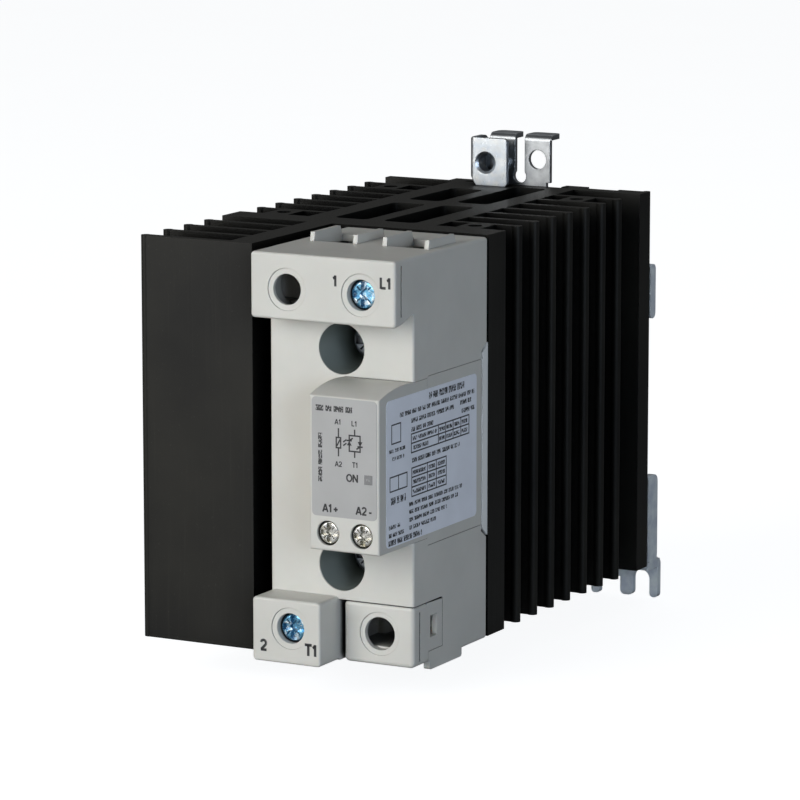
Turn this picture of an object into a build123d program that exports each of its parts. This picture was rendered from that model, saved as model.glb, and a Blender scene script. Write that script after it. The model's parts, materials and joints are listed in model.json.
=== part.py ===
from build123d import *
import math
import os

# Solid state relay on a DIN-rail heatsink. Millimetres, +Z up, front of the relay towards -Y.
# The parts are laid out in a working frame: x from the middle of the heatsink, y from the front
# face of its base plate, z from its mid-height. SHIFT moves that frame's origin to the middle of
# the rear mounting face when the parts are written.

# ---- driving dimensions -------------------------------------------------------------------
SINK_WIDTH = 70.0            # heatsink, four 17.5 mm modules wide
SINK_HEIGHT = 93.2
FIN = 1.6                    # fin thickness
FIN_TIP = 1.15               # radius of the bead on a fin's tip
BASE_PLATE = 8.45            # heatsink base plate thickness
FRONT_FINS = (-37.15, -27.15, -18.05, -8.8)
REAR_FINS = (15.8, 24.6, 33.5, 42.3, 51.3, 60.3, 69.1)
REAR_PLATE_Y = 80.5          # front of the plate that closes the fin stack
REAR_PLATE = 2.6
SEAT_Y = 87.0                # plane that the rail lies against
PANEL_Y = 94.5               # rear mounting face of the feet
PANEL_Z = -48.6              # height of the reference point on that face
RAIL_Z = -4.5                # centre line of the 35 mm rail
RAIL_WIDTH = 35.0
RAIL_LIP = 1.0               # rail sheet thickness

COVER_LEFT = -1.5
COVER_RIGHT = 35.0
COVER_TOP = 46.2
COVER_BOTTOM = -46.9
COVER_REAR = -1.0
COVER_FRONT = -36.3          # main front face
BLOCK_FRONT = -45.0          # front of the terminal blocks
CONTROL_FRONT = -52.5        # front of the control block
WALL = 1.6
EDGE = 0.6                   # outer edge rounding of the mouldings

TOP_BLOCK_Z = 31.3           # underside of the upper terminal block at its front
LOW_BLOCK_Z = -32.2          # top of the lower blocks
LOW_BLOCK_RIGHT = 15.9
CAP_LEFT = 17.2
CAP_REAR = -22.6
CAP_TOP = -32.8

LINE_X, LINE_Z = 26.3, 38.15         # power screw, upper row
SPARE_X = 7.7                        # unused upper position
LOAD_X, LOAD_Z = 8.25, -38.7         # power screw, lower row
CAP_HOLE_Z = -39.7                   # unused lower position
SCREW_HOLE = 3.5                     # radius of the screwdriver holes
POWER_HEAD = 3.3                     # radius of a power screw's head
HOLE_RING = 4.8                      # shallow round recess around each hole
RING_STEP = 0.25
SPARE_WALL = 1.2                     # front wall at the unused upper position
SPARE_ROOM = 4.6                     # radius of the room behind that wall
CAP_HOLE = 3.8
CAP_RING = 5.0
CAP_SLOPE = 0.5                      # fall of the cap's top towards its rear
CAP_SLIT = 0.2                       # gap behind the cap
SLIT_DEPTH = 3.0                     # slit between the lower block and the cap
PARTITION_REAR = -10.0               # inner wall between the lower terminal and the cap's room
HEAD_FRONT = -43.4
SEAT_FRONT = -41.0                   # seat under a power screw head
SEAT_REAR = -39.4

WELL_X = 16.8
WELL_Z = (24.3, -25.0)
WELL = 5.8                           # radius of the deep screw wells
WELL_TUBE = 6.9                      # outer radius of their tubes
WELL_LIP = 0.35                      # thin rim of the cover in front of a tube
TOWER_FLOOR = -19.5

CONTROL_LEFT = 17.5
CONTROL_TOP = 18.1
CONTROL_BOTTOM = -18.1
CONTROL_SKIRT = -30.0        # rear edge of the block's side wall
CONTROL_REAR = -34.8         # rear edge of its other walls
CONTROL_WALL = 1.4
CONTROL_X = (22.2, 30.6)             # A1 and A2 screws
CONTROL_Z = -14.1
CONTROL_HOLE = 2.8
CONTROL_HEAD = 2.6           # radius of a control screw's head
CONTROL_SEAT = -50.2         # seat under the control screw heads

LED_X, LED_Z = 32.4, -1.3
LED_WIDTH, LED_HEIGHT = 1.9, 2.0
LABEL = 0.12

RIB_X = (2.9, 13.9, 21.4, 32.0)      # ribs beside the wire entries
RIB = 1.1
ENTRY_FRONT = -25.0
ENTRY_REAR = -11.0
ENTRY_HALF = 4.9             # half width of a wire entry
NOTCH_Y = -3.5                       # side notch that shows the base frame
NOTCH_LOW, NOTCH_HIGH = -21.3, 20.5
NOTCH_SLOPE = 2.0
SEAM_Z = (18.6, -19.8)       # fine mould seams beside the side label
SEAM = 0.12

POWER_PITCH_RADIUS = 1.95            # M4 thread as a plain shaft
CONTROL_PITCH_RADIUS = 1.45          # M3 thread as a plain shaft
RUN = 0.05                           # radial clearance of every running fit
GAP = 0.05                           # gap between parts that only touch

SHEET = 1.6                          # rail bracket sheet
STRIP = 1.2                          # centre strip sheet
STRIP_Y = 82.6
STRIP_LEFT, STRIP_RIGHT = -13.7, 14.3
RELEASE = 5.0                        # travel of the rail slider
STRIP_SCREW_X = 0.3
STRIP_SCREWS = (25.0, -14.0)         # heights of the strip's two screws
TAB_HOLE_X, TAB_HOLE_Z = 6.2, 53.1
TAB_HOLE = 2.35
RIVET_XZ = (-3.4, 51.8)
EARTH_X, EARTH_Z = -5.3, 52.25
EARTH_BORE = 2.1
EARTH_THREAD = 3.6                   # depth of the drawn thread
EARTH_FRONT = 77.0
EARTH_SHEET = 1.2
BRACKET_SCREWS = [(x, z) for z in (21.8, -34.6) for x in (-16.1, 16.1)]
FOOT_X = 30.5                        # panel-screw slots in the feet
FOOT_BOTTOM = -55.7
SLOT = 4.6
SLOT_Z = -51.2
SLIDER_Y = 88.8
SLIDER_HALF = 21.0
SPRING_X = (-6.0, 6.0)
SPRING_WINDOW = (-42.7, -30.3)
SPRING_SLOT = 2.1
GUIDE_X = (-8.0, 8.0)
GUIDE_Z = -26.8
GUIDE = 1.5                          # radius of the slider's guide rivets

SUBSTRATE_X = (5.0, 28.6)
SUBSTRATE_Z = (-17.0, 16.0)
PAD, CERAMIC, CHIP, COPPER = 0.25, 1.0, 0.4, 1.2
CHIP_FRONT = -(PAD + CERAMIC + CHIP)
CHIPS = ((16.8, 7.0), (16.8, -8.0))  # thyristor positions
BUS_FRONT = -25.5
BUS_HALF = 2.4
BUS_REAR = -4.6                      # front face of a busbar's run along the module
BOARD_Y = -33.0
BOARD = 1.6
BOARD_X = (1.2, 33.0)
BOARD_Z = (-17.6, 16.9)
PIN_X = (9.0, 12.0, 22.0, 25.0)

CAGE_FRONT = -30.5
CAGE_REAR = -9.2
CAGE_TOP_WALL = 3.0                  # threaded front wall
CAGE_WALL = 1.5
CAGE_HALF = 5.4
CAGE_HEIGHT = 6.6
SMALL_CAGE_FRONT = -47.4
SMALL_CAGE_REAR = -40.6
SMALL_CAGE_HALF = 2.6
SMALL_CAGE_HEIGHT = 4.8
WASHER = 1.0

HALF_W = SINK_WIDTH / 2
HALF_H = SINK_HEIGHT / 2
SHIFT = Vector(0, -PANEL_Y, -PANEL_Z)


# ---- small helpers ------------------------------------------------------------------------
def block(x, y, z):
    """Box from three (low, high) pairs."""
    size = [high - low for low, high in (x, y, z)]
    middle = [(high + low) / 2 for low, high in (x, y, z)]
    return Pos(*middle) * Box(*size)


def rect(x, y):
    """Flat rectangle in the XY plane from two (low, high) pairs."""
    return Pos((x[0] + x[1]) / 2, (y[0] + y[1]) / 2) * Rectangle(x[1] - x[0], y[1] - y[0])


def rod(x, z, radius, y0, y1):
    """Cylinder along Y."""
    return Pos(x, (y0 + y1) / 2, z) * Rot(90, 0, 0) * Cylinder(radius, y1 - y0)


def plate_xz(sketch, y0, y1):
    """Extrude a sketch whose axes are X and Z from y0 to y1."""
    return extrude(Plane.XZ.offset(-y0) * sketch, amount=y0 - y1)


def plate_yz(sketch, x0, x1):
    """Extrude a sketch whose axes are Y and Z from x0 to x1."""
    return extrude(Plane.YZ.offset(x0) * sketch, amount=x1 - x0)


def rounded(x, z, radius):
    """Rounded rectangle from two (low, high) pairs."""
    centre = Pos((x[0] + x[1]) / 2, (z[0] + z[1]) / 2)
    return centre * RectangleRounded(x[1] - x[0], z[1] - z[0], radius)


def soft_block(x, y, z, radius, front_radius):
    """Moulded block: corners along Y rounded, and the edges of its front face rounded."""
    body = plate_xz(rounded(x, z, radius), *y)
    return fillet(body.edges().filter_by_position(Axis.Y, y[0] - 0.01, y[0] + 0.01), front_radius)


def cross_recess(x, z, y_top, radius, depth):
    """Wide cross recess for a screwdriver: four arms, a deep square centre, shallow diagonal notches."""
    reach, arm, centre = radius * 0.84, radius * 0.23, radius * 0.40
    cut = block((x - reach, x + reach), (y_top - 1, y_top + depth * 0.6), (z - arm, z + arm))
    cut += block((x - arm, x + arm), (y_top - 1, y_top + depth * 0.6), (z - reach, z + reach))
    for angle in (45, 135):
        turned = Pos(x, y_top, z) * Rot(0, angle, 0)
        cut += turned * Box(reach * 1.75, depth * 0.5, radius * 0.09)
        cut += turned * Box(centre * 1.6, depth * 2, centre * 1.6)
    return cut


def screw(x, z, head_y, head_radius, head_height, shaft_radius, shaft_end):
    """Pan-head screw along Y with its head towards -Y."""
    head = rod(x, z, head_radius, head_y, head_y + head_height)
    rim = head.edges().filter_by_position(Axis.Y, head_y - 0.01, head_y + 0.01)
    head = fillet(rim, head_height * 0.35)
    head -= cross_recess(x, z, head_y, head_radius, head_height * 0.7)
    return head + rod(x, z, shaft_radius, head_y + head_height, shaft_end)


# ---- heatsink and rail hardware -----------------------------------------------------------
def fin(tip_x, root_x, y, thickness):
    """One fin: a flat blade with a round bead along its tip."""
    low, high = sorted((tip_x, root_x))
    bead_x = tip_x - math.copysign(FIN_TIP, tip_x)
    blade_end = (bead_x, high) if tip_x < root_x else (low, bead_x)
    return rect(blade_end, (y, y + thickness)) + Pos(bead_x, y + thickness / 2) * Circle(FIN_TIP)


def sink_front():
    """Left-hand fins in front of the base plate and the web that carries them."""
    web_left, web_right = -12.2, -5.6
    profile = rect((web_left, web_right), (FRONT_FINS[0], 1))
    for y in FRONT_FINS:
        profile += fin(-HALF_W, web_left + 1, y, FIN + 0.4 if y == FRONT_FINS[0] else FIN)
    return profile


def sink_spine():
    """Hollow spine behind the base plate, with four through channels."""
    profile = rect((-16.5, 17.1), (BASE_PLATE - 1, REAR_PLATE_Y + 1))
    channels = (((-10.4, -1.8), (9.4, 39.7)), ((2.4, 11.0), (9.4, 40.2)),
                ((-10.4, -1.8), (46.0, 69.7)), ((2.4, 11.0), (46.3, 78.6)))
    for x, y in channels:
        profile -= rounded(x, y, 1.8)
    return profile


def sink_rear():
    """Rear plate: raised lands, a lip at the right and a T groove for the centre strip."""
    profile = rect((-HALF_W, HALF_W), (REAR_PLATE_Y, REAR_PLATE_Y + REAR_PLATE))
    profile += rect((-18.4, 18.2), (REAR_PLATE_Y, SEAT_Y))
    profile += rect((18.2, 27.0), (REAR_PLATE_Y + 1, 84.4))
    profile += rect((27.0, 33.6), (REAR_PLATE_Y + 1, 85.9))
    profile += rounded((33.3, HALF_W), (REAR_PLATE_Y, SEAT_Y), 0.8)
    profile -= rect((STRIP_LEFT - 0.1, STRIP_RIGHT + 0.1), (STRIP_Y - GAP, STRIP_Y + STRIP + GAP))
    return profile - rect((-11.5, 12.1), (STRIP_Y, SEAT_Y + 1))


def heatsink():
    """Black extrusion: front fins, base plate, rear fins, spine and rear plate."""
    profile = rect((-HALF_W, HALF_W), (0, BASE_PLATE)) + sink_front() + sink_spine()
    for y in REAR_FINS:
        profile += fin(-HALF_W, -16.0, y, FIN)
        profile += fin(HALF_W, 16.5, y, FIN)
    port_x, port_hole, port_wall = 25.3, 1.7, 3.2
    ports = [(side * port_x, y) for side in (-1, 1) for y in (12.1, 65.3)]
    for x, y in ports:
        profile += rect((x - port_wall, x + port_wall), (y - 4.2, y + 4.2))
    profile += sink_rear()
    for x, y in ports:
        profile -= Pos(x, y) * Circle(port_hole)
    body = Pos(0, 0, -HALF_H) * extrude(profile, amount=SINK_HEIGHT)
    for z in WELL_Z:
        body -= rod(WELL_X, z, 2.1, -1, BASE_PLATE + 1)
    for x, z in BRACKET_SCREWS:
        body -= rod(x, z, 1.5, SEAT_Y - 6, SEAT_Y + 1)
    for z in STRIP_SCREWS:
        body -= rod(STRIP_SCREW_X, z, 1.5, STRIP_Y - 7, STRIP_Y + 1)
    return body


def centre_strip():
    """Steel strip in the rear groove, ending in two flanged tabs above the heatsink."""
    tab_top, flange_end, slot = 59.2, 88.3, (0.1, 2.7)
    left, right, neck_z = -6.8, 9.6, HALF_H + 0.9
    sketch = rect((STRIP_LEFT, STRIP_RIGHT), (-24.0, HALF_H - 1.0))
    sketch += rect((left, right - 1.0), (HALF_H - 2, tab_top))
    sketch += rect((left, right), (neck_z, tab_top))
    sketch -= rect(slot, (48.8, tab_top + 1))
    sketch -= Pos(sum(slot) / 2, 48.8) * Circle(1.7)
    sketch -= Pos(TAB_HOLE_X, TAB_HOLE_Z) * Circle(TAB_HOLE)
    sketch -= Pos(*RIVET_XZ) * Circle(1.55)
    strip = plate_xz(sketch, STRIP_Y, STRIP_Y + STRIP)
    for x in ((left, slot[0]), (slot[1], right + 0.4)):
        flange = rounded(x, (STRIP_Y - 3, flange_end), 1.6)
        flange -= rect((x[0] - 1, x[1] + 1), (STRIP_Y - 4, STRIP_Y))
        strip += Pos(0, 0, tab_top - STRIP) * extrude(flange, amount=STRIP)
    bend = strip.edges().filter_by(Axis.X).filter_by_position(Axis.Z, tab_top - 0.01, tab_top + 0.01)
    strip = fillet(bend.filter_by_position(Axis.Y, STRIP_Y - 0.01, STRIP_Y + 0.01), 1.5)
    for z in STRIP_SCREWS:
        strip -= countersink(STRIP_SCREW_X, z, 0.0)
    return strip


def countersink(x, z, shrink):
    """Countersunk M3 screw shape, head flush with the strip's rear face; also cuts its seat."""
    rear, depth = STRIP_Y + STRIP, STRIP - 0.1
    cone = Pos(x, rear - depth / 2, z) * Rot(90, 0, 0) * Cone(2.6 - shrink, 1.5 - shrink, depth)
    return cone + rod(x, z, 1.5 - shrink, STRIP_Y - 6, rear - depth + 0.05)


def strip_screws():
    """Two countersunk screws that hold the strip to the heatsink's web."""
    group = []
    for z in STRIP_SCREWS:
        body = countersink(STRIP_SCREW_X, z, RUN)
        slot = block((STRIP_SCREW_X - 1.8, STRIP_SCREW_X + 1.8), (STRIP_Y + STRIP - 0.6, STRIP_Y + 3),
                     (z - 0.35, z + 0.35))
        group.append(body - slot)
    return Compound(group)


def earth_terminal():
    """Bent sheet with a drawn, threaded hole for the protective-earth screw."""
    t, front, left, right, top = EARTH_SHEET, EARTH_FRONT, -9.7, 0.5, 58.4
    foot = HALF_H + GAP
    rear = STRIP_Y + STRIP + GAP
    outline = rounded((left, right), (foot, top), 0.8)
    body = plate_xz(outline, front, front + t)
    side = rounded((front, rear + t), (foot, top), 2.0) + rect((front, front + 4), (foot, top - 0.6))
    body += plate_yz(side, left, left + t)
    bend = block((left - 1, left + t), (front - 1, front + t), (foot - 1, top + 1))
    body -= bend - Pos(left + t, front + t, top) * Cylinder(t, 4 * (top - foot))
    corner = Polyline((left - 1, foot - 1), (left + 2.6, foot - 1), (left - 1, foot + 4), close=True)
    body -= plate_xz(make_face(corner), front - 1, front + 4)
    body += plate_xz(rounded((left + 0.2, -1.0), (foot + 0.6, 56.9), 1.2), rear, rear + t)
    body += rod(EARTH_X, EARTH_Z, 3.1, front + t / 2, front + EARTH_THREAD)
    bore = rod(EARTH_X, EARTH_Z, EARTH_BORE, front - 1, front + EARTH_THREAD + 1)
    mouth = Pos(EARTH_X, front + 0.25, EARTH_Z) * Rot(90, 0, 0) * Cone(EARTH_BORE, EARTH_BORE + 0.7, 0.5)
    return body - bore - mouth - rod(*RIVET_XZ, 1.55, rear - 1, rear + t + 1)


def earth_rivet():
    """Rivet through the strip's left tab and the earth terminal's rear flange."""
    rear = STRIP_Y + STRIP + GAP + EARTH_SHEET
    front_head = rod(*RIVET_XZ, 2.4, STRIP_Y - 1.1, STRIP_Y)
    rear_head = rod(*RIVET_XZ, 2.4, rear, rear + 1.0)
    front_head = fillet(front_head.edges().sort_by(Axis.Y)[0], 0.6)
    return front_head + rod(*RIVET_XZ, 1.5, STRIP_Y, rear) + rear_head


def rail_hook():
    """Fixed upper jaw: full-width sheet with end walls and two lips behind the rail's top edge."""
    low, high = 15.1, 28.5
    sheet = plate_xz(rounded((-HALF_W, HALF_W), (low, high), 1.0), SEAT_Y + GAP, SEAT_Y + SHEET)
    for side in (-1, 1):
        x = sorted((side * (HALF_W - SHEET), side * HALF_W))
        wall = rounded((SEAT_Y + GAP, 90.0), (low, high), 1.4)
        sheet += plate_yz(wall, *x)
        lip_x = sorted((side * 7.0, side * 20.0))
        lip_y = (SEAT_Y + RAIL_LIP + 0.3, SEAT_Y + RAIL_LIP + 0.3 + SHEET)
        sheet += block(lip_x, lip_y, (RAIL_Z + RAIL_WIDTH / 2 - 3.4, low + 2.4))
    for x, z in BRACKET_SCREWS:
        if z > 0:
            sheet -= rod(x, z, 1.6, SEAT_Y - 1, SEAT_Y + SHEET + 3)
            sheet -= rod(x, z, 3.1, SEAT_Y + SHEET, SEAT_Y + SHEET + 3)
    return sheet


def foot_outline():
    """Rear plate of the lower bracket: two feet, each with an open-ended panel-screw slot."""
    outline = rounded((-HALF_W, HALF_W), (-51.2, -45.6), 1.5)
    for side in (-1, 1):
        outer = sorted((side * (FOOT_X + SLOT / 2), side * HALF_W))
        inner = sorted((side * 24.8, side * (FOOT_X - SLOT / 2)))
        outline += rounded(outer, (FOOT_BOTTOM, -46.2), 1.0) + rounded(inner, (FOOT_BOTTOM, -46.2), 1.2)
        outline += rect(sorted((side * 26.0, side * 33.6)), (-52.0, -47.0))
        outline -= rect((side * FOOT_X - SLOT / 2, side * FOOT_X + SLOT / 2), (FOOT_BOTTOM - 1, SLOT_Z))
        outline -= Pos(side * FOOT_X, SLOT_Z) * Circle(SLOT / 2)
    return outline


def lower_bracket():
    """Lower sheet bracket: web, end walls, bottom flange and the rear foot plate."""
    top, bend = -24.1, -46.2
    web = rounded((-HALF_W, HALF_W), (bend, top), 1.0)
    for x in SPRING_X:
        web -= rect((x - SPRING_SLOT, x + SPRING_SLOT), SPRING_WINDOW)
    body = plate_xz(web, SEAT_Y + GAP, SEAT_Y + SHEET)
    for side in (-1, 1):
        x = sorted((side * (HALF_W - SHEET), side * HALF_W))
        body += plate_yz(rounded((SEAT_Y + GAP, 92.3), (bend, top), 2.0), *x)
    body += block((-HALF_W, HALF_W), (SEAT_Y + GAP, PANEL_Y - 0.5), (bend - SHEET, bend + 0.4))
    body += plate_xz(foot_outline(), PANEL_Y - SHEET - 0.2, PANEL_Y)
    body -= block((-22.0, 22.0), (SLIDER_Y - 0.2, SLIDER_Y + SHEET + 0.3), (bend - 3, bend + 1))
    for x in GUIDE_X:
        body -= rod(x, GUIDE_Z, GUIDE, SEAT_Y - 1, SEAT_Y + SHEET + 1)
    for x, z in BRACKET_SCREWS:
        if z < 0:
            body -= rod(x, z, 1.6, SEAT_Y - 1, SEAT_Y + SHEET + 1)
    return body


def rail_slider():
    """Sprung lower jaw: flat plate whose top edge stands behind the rail's bottom edge."""
    half, top, bottom, horn = SLIDER_HALF, RAIL_Z - RAIL_WIDTH / 2 + 3.6, -47.5, -55.1
    sketch = rounded((-half, half), (bottom, top), 1.0)
    for side in (-1, 1):
        sketch += rounded(sorted((side * (half - 2.3), side * half)), (horn, bottom + 4), 0.9)
    for x in SPRING_X:
        sketch -= rect((x - SPRING_SLOT, x + SPRING_SLOT), SPRING_WINDOW)
    for x, z in BRACKET_SCREWS[2:]:
        sketch -= Pos(x, z + RELEASE / 2) * SlotOverall(RELEASE + 7.6, 6.6, rotation=90)
    for x in GUIDE_X:
        width, travel = 2 * (GUIDE + RUN), RELEASE + 0.4
        sketch -= Pos(x, GUIDE_Z + travel / 2) * SlotOverall(travel + width, width, rotation=90)
    back = SLIDER_Y + SHEET
    lead_in = Polyline((back, top - 1.2), (back - 1.2, top), (back, top + 1), (back + 1, top), close=True)
    return plate_xz(sketch, SLIDER_Y, back) - plate_yz(make_face(lead_in), -half - 1, half + 1)


def guide_rivets():
    """Two shouldered rivets fixed in the lower bracket, running in the slider's slots."""
    group = []
    for x in GUIDE_X:
        body = rod(x, GUIDE_Z, GUIDE - 0.01, SEAT_Y, SLIDER_Y + SHEET + 0.1)
        body += rod(x, GUIDE_Z, 2.5, SEAT_Y - 1.0, SEAT_Y)
        head = rod(x, GUIDE_Z, 2.9, SLIDER_Y + SHEET + 0.1, SLIDER_Y + SHEET + 1.2)
        body += fillet(head.edges().sort_by(Axis.Y)[-1], 0.5)
        group.append(body)
    return Compound(group)


def slider_springs():
    """Two compression springs standing in the aligned windows of bracket and slider."""
    wire, mean = 0.28, 1.45
    low, high = SPRING_WINDOW[0] + 0.1 + wire, SPRING_WINDOW[1] - 0.1 - wire
    turns = 8
    group = []
    for x in SPRING_X:
        path = Helix(pitch=(high - low) / turns, height=high - low, radius=mean)
        start = Plane(origin=path @ 0, z_dir=path % 0)
        coil = sweep(start * Circle(wire), path=path, is_frenet=True)
        group.append(Pos(x, SLIDER_Y - 0.1, low) * coil)
    return Compound(group)


def bracket_screws():
    """Four low-head screws that hold both rail brackets to the heatsink."""
    group = []
    for x, z in BRACKET_SCREWS:
        head_y = SEAT_Y + SHEET
        body = rod(x, z, 1.45, SEAT_Y - 5.6, head_y)
        head = rod(x, z, 2.7, head_y, head_y + 1.5)
        head = fillet(head.edges().sort_by(Axis.Y)[-1], 0.5)
        socket = extrude(RegularPolygon(1.15, 6), amount=1.6, both=True)
        head -= Pos(x, head_y + 1.2, z) * Rot(90, 0, 0) * socket
        group.append(body + head)
    return Compound(group)


# ---- housing ------------------------------------------------------------------------------
def cover_outer():
    """Outside of the cover before hollowing."""
    x = (COVER_LEFT, COVER_RIGHT)
    body = soft_block(x, (COVER_FRONT, COVER_REAR), (COVER_BOTTOM, COVER_TOP), 0.8, EDGE)
    top = soft_block(x, (BLOCK_FRONT, COVER_FRONT + 2), (TOP_BLOCK_Z, COVER_TOP), 0.9, EDGE)
    slope = Polyline((BLOCK_FRONT + 0.6, TOP_BLOCK_Z), (COVER_FRONT, TOP_BLOCK_Z + 2.3),
                     (COVER_FRONT, TOP_BLOCK_Z - 1), (BLOCK_FRONT + 0.6, TOP_BLOCK_Z - 1), close=True)
    top -= plate_yz(make_face(slope), x[0] - 1, x[1] + 1)
    low = soft_block((COVER_LEFT, LOW_BLOCK_RIGHT), (BLOCK_FRONT, COVER_FRONT + 2),
                     (COVER_BOTTOM, LOW_BLOCK_Z), 0.9, EDGE)
    body += top + low
    foot = rounded((-28.5, -13.0), (COVER_BOTTOM - 1.7, COVER_BOTTOM + 2), 0.6)
    body += plate_yz(foot, COVER_RIGHT - WALL, COVER_RIGHT)
    for hole_x, hole_z in ((SPARE_X, LINE_Z), (LINE_X, LINE_Z), (LOAD_X, LOAD_Z)):
        body -= rod(hole_x, hole_z, HOLE_RING, BLOCK_FRONT - 1, BLOCK_FRONT + RING_STEP)
    for rib_x in RIB_X:
        rib = Polyline((ENTRY_FRONT, COVER_TOP - 1), (ENTRY_FRONT + 0.7, COVER_TOP + 2.0),
                       (ENTRY_REAR - 1.5, COVER_TOP + 2.0), (ENTRY_REAR, COVER_TOP - 1), close=True)
        body += plate_yz(make_face(rib), rib_x - RIB / 2, rib_x + RIB / 2)
    return body


def power_chamber(x, z, low):
    """Room for one power terminal: driver hole, shaft hole, cage space."""
    room = rod(x, z, SCREW_HOLE, BLOCK_FRONT - 1, SEAT_FRONT)
    room += rod(x, z, 2.3, SEAT_FRONT - 1, SEAT_REAR + 1)
    room += block((x - 6.1, x + 6.1), (SEAT_REAR, COVER_FRONT + 4), low)
    return room


def notch_outline(front, rear, inset):
    """Side notch with sloped ends, drawn in Y and Z; inset draws the piece that fills it."""
    low, high = NOTCH_LOW + inset, NOTCH_HIGH - inset
    return make_face(Polyline((front, low), (rear + 0.5, low - NOTCH_SLOPE), (rear + 0.5, high + NOTCH_SLOPE),
                              (front, high), close=True))


def housing_cover():
    """Front shell of the relay, open at the rear."""
    body = cover_outer()
    inner_x = (COVER_LEFT + WALL, COVER_RIGHT - WALL)
    inner_z = (COVER_BOTTOM + WALL, COVER_TOP - WALL)
    body -= block(inner_x, (COVER_FRONT + WALL, COVER_REAR + 1), inner_z)
    upper = (TOP_BLOCK_Z + 3.4, COVER_TOP - WALL)
    body += block((LOW_BLOCK_RIGHT - WALL, LOW_BLOCK_RIGHT), (COVER_FRONT + 1, PARTITION_REAR),
                  (COVER_BOTTOM + 1, CAP_TOP))
    body -= power_chamber(LINE_X, LINE_Z, upper)
    body -= power_chamber(SPARE_X, LINE_Z, upper)
    body -= rod(SPARE_X, LINE_Z, SPARE_ROOM, BLOCK_FRONT + SPARE_WALL, SEAT_REAR + 1)
    body -= power_chamber(LOAD_X, LOAD_Z, (COVER_BOTTOM + WALL, LOW_BLOCK_Z - 1.2))
    for z in WELL_Z:
        body -= rod(WELL_X, z, WELL, COVER_FRONT - 1, COVER_FRONT + 3)
        body -= rod(WELL_X, z, WELL_TUBE + GAP, COVER_FRONT + WELL_LIP, COVER_FRONT + 3)
    for x in (RIB_X[0] + RIB_X[1], RIB_X[2] + RIB_X[3]):
        entry_x = (x / 2 - ENTRY_HALF, x / 2 + ENTRY_HALF)
        body -= block(entry_x, (ENTRY_FRONT + 0.7, ENTRY_REAR - 0.7), (COVER_TOP - 3, COVER_TOP + 4))
        body -= block(entry_x, (ENTRY_FRONT + 0.7, ENTRY_REAR - 0.7), (COVER_BOTTOM - 1, COVER_BOTTOM + 3))
    body -= block((CONTROL_LEFT - GAP, COVER_RIGHT + 1), (COVER_FRONT - 1, CONTROL_SKIRT + GAP),
                  (CONTROL_BOTTOM - GAP, CONTROL_TOP + GAP))
    body -= block((CAP_LEFT - GAP, COVER_RIGHT + 1), (COVER_FRONT - 1, CAP_REAR + CAP_SLIT),
                  (-44.25, CAP_TOP + GAP))
    body -= block((LOW_BLOCK_RIGHT, CAP_LEFT), (COVER_FRONT - 1, COVER_FRONT + SLIT_DEPTH),
                  (COVER_BOTTOM - 1, CAP_TOP + GAP))
    body -= block((CAP_LEFT - GAP, COVER_RIGHT + 1), (COVER_FRONT - 1, -29.2 + GAP),
                  (COVER_BOTTOM - 1, CAP_TOP + GAP))
    body -= plate_yz(notch_outline(NOTCH_Y, COVER_REAR, 0), COVER_RIGHT - WALL - 1, COVER_RIGHT + 1)
    for z in SEAM_Z:
        body -= block((COVER_RIGHT - SEAM, COVER_RIGHT + 1), (-29.5, NOTCH_Y), (z - SEAM / 2, z + SEAM / 2))
    groove_z = (TOP_BLOCK_Z + 2.2, COVER_TOP - 1.3)
    return body - block((COVER_RIGHT - 0.5, COVER_RIGHT + 1), (-42.45, -41.95), groove_z)


def terminal_cap():
    """Snap-in cap over the unused lower right terminal position."""
    x = (CAP_LEFT, COVER_RIGHT)
    body = soft_block(x, (COVER_FRONT, -29.2), (COVER_BOTTOM, CAP_TOP), 1.2, 1.0)
    body += block(x, (-30.0, CAP_REAR), (-44.15, CAP_TOP))
    slope = Polyline((COVER_FRONT + 1, CAP_TOP), (CAP_REAR + 1, CAP_TOP + 1),
                     (CAP_REAR + 1, CAP_TOP - CAP_SLOPE), close=True)
    body -= plate_yz(make_face(slope), x[0] - 1, x[1] + 1)
    body -= rod(LINE_X, CAP_HOLE_Z, CAP_RING, COVER_FRONT - 1, COVER_FRONT + RING_STEP)
    body -= block((x[0] + 1.4, x[1] - 1.4), (COVER_FRONT + 1.5, CAP_REAR + 1), (-43.0, CAP_TOP - 1.8))
    body -= rod(LINE_X, CAP_HOLE_Z, CAP_HOLE, COVER_FRONT - 1, COVER_FRONT + 2)
    body -= block((COVER_RIGHT - 2, COVER_RIGHT + 1), (-28.3, -25.1), (-41.1, -36.1))
    return body - block((COVER_RIGHT - 0.5, COVER_RIGHT + 1), (-33.65, -33.15), (-45.7, -34.4))


def control_profile(inset):
    """Side outline of the control block with its gently domed top, drawn in Y and Z."""
    front, top, bottom = CONTROL_FRONT + inset, CONTROL_TOP - inset, CONTROL_BOTTOM + inset
    dome = ThreePointArc((front, top - 1.6), (front + 5.5, top - 0.25), (COVER_FRONT, top))
    rest = Polyline((COVER_FRONT, top), (CONTROL_SKIRT, top), (CONTROL_SKIRT, bottom),
                    (front, bottom), (front, top - 1.6))
    return make_face([dome, *rest.edges()])


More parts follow.
